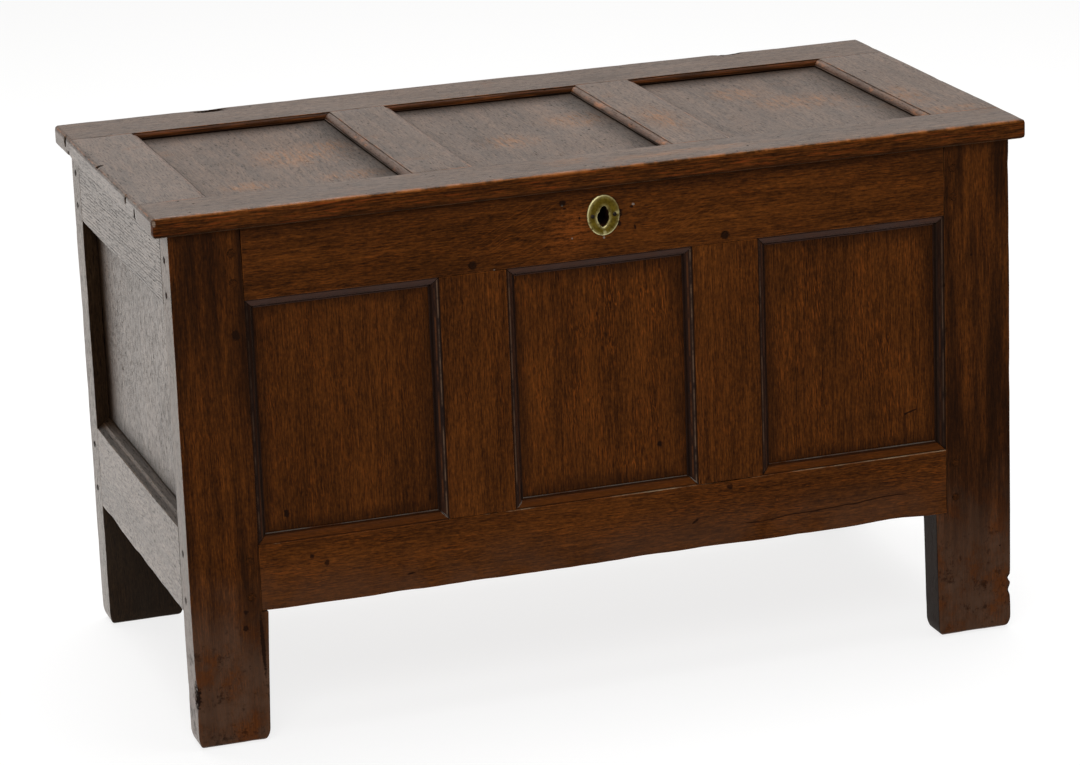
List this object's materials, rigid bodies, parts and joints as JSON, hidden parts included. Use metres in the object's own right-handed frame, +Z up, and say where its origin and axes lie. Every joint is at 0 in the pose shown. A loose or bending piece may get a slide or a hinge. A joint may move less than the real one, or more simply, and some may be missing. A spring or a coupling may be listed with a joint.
{
  "type": "wooden coffer",
  "caption": "Joined oak coffer with a framed panel front, panelled ends and back, a hinged framed lid, a chest lock with an oval brass keyhole plate, and stile feet.",
  "frame": {"origin": "on the floor, under the middle of the bounding box", "axes": "+X along the width, to the right as seen from the front; +Y from the front to the back; +Z up"},
  "size_m": [1.12, 0.554, 0.6738],
  "materials": {
    "oak_front": "dark waxed oak",
    "oak_lid": "worn waxed oak",
    "oak_side": "waxed oak",
    "oak_inner": "dry unpolished oak",
    "iron": "dark wrought iron",
    "brass": "tarnished"
  },
  "bodies": {
    "carcase": {"back_bottom_rail": "oak_inner", "back_left_muntin": "oak_inner", "back_left_panel": "oak_inner", "back_left_stile": "oak_front", "back_middle_panel": "oak_inner", "back_right_muntin": "oak_inner", "back_right_panel": "oak_inner", "back_right_stile": "oak_front", "back_top_rail": "oak_inner", "bottom_board_1": "oak_inner", "bottom_board_2": "oak_inner", "bottom_board_3": "oak_inner", "bottom_board_4": "oak_inner", "escutcheon": "brass", "escutcheon_left_nail": "brass", "escutcheon_right_nail": "brass", "front_bottom_rail": "oak_front", "front_left_muntin": "oak_front", "front_left_muntin_peg": "oak_front", "front_left_panel": "oak_front", "front_left_stile": "oak_front", "front_middle_panel": "oak_front", "front_right_muntin": "oak_front", "front_right_muntin_peg": "oak_front", "front_right_panel": "oak_front", "front_right_stile": "oak_front", "front_top_rail": "oak_front", "left_bottom_rail": "oak_side", "left_bottom_rail_lower_peg": "oak_front", "left_bottom_rail_upper_peg": "oak_front", "left_hinge_back_leaf": "iron", "left_hinge_pin": "iron", "left_panel": "oak_side", "left_top_rail": "oak_side", "left_top_rail_lower_peg": "oak_front", "left_top_rail_upper_peg": "oak_front", "lock_case": "iron", "right_bottom_rail": "oak_side", "right_bottom_rail_lower_peg": "oak_front", "right_bottom_rail_upper_peg": "oak_front", "right_hinge_back_leaf": "iron", "right_hinge_pin": "iron", "right_panel": "oak_side", "right_top_rail": "oak_side", "right_top_rail_lower_peg": "oak_front", "right_top_rail_upper_peg": "oak_front"},
    "lid": {"left_hinge_lid_leaf": "iron", "lid_back_rail": "oak_lid", "lid_front_rail": "oak_lid", "lid_left_end": "oak_lid", "lid_left_muntin": "oak_lid", "lid_left_panel": "oak_lid", "lid_middle_panel": "oak_lid", "lid_right_end": "oak_lid", "lid_right_muntin": "oak_lid", "lid_right_panel": "oak_lid", "lid_staple": "iron", "right_hinge_lid_leaf": "iron"},
    "lock_bolt": {"lock_bolt": "iron"}
  },
  "joints": [
    {"name": "lid_hinge", "type": "hinge", "parent": "carcase", "child": "lid", "pos_m": [0, 0.2722, 0.6488], "axis": [-1, 0, 0], "range_deg": [0, 105]},
    {"name": "lock_bolt_slide", "type": "slide", "parent": "carcase", "child": "lock_bolt", "axis": [1, 0, 0], "range_m": [0, 0.014]}
  ]
}
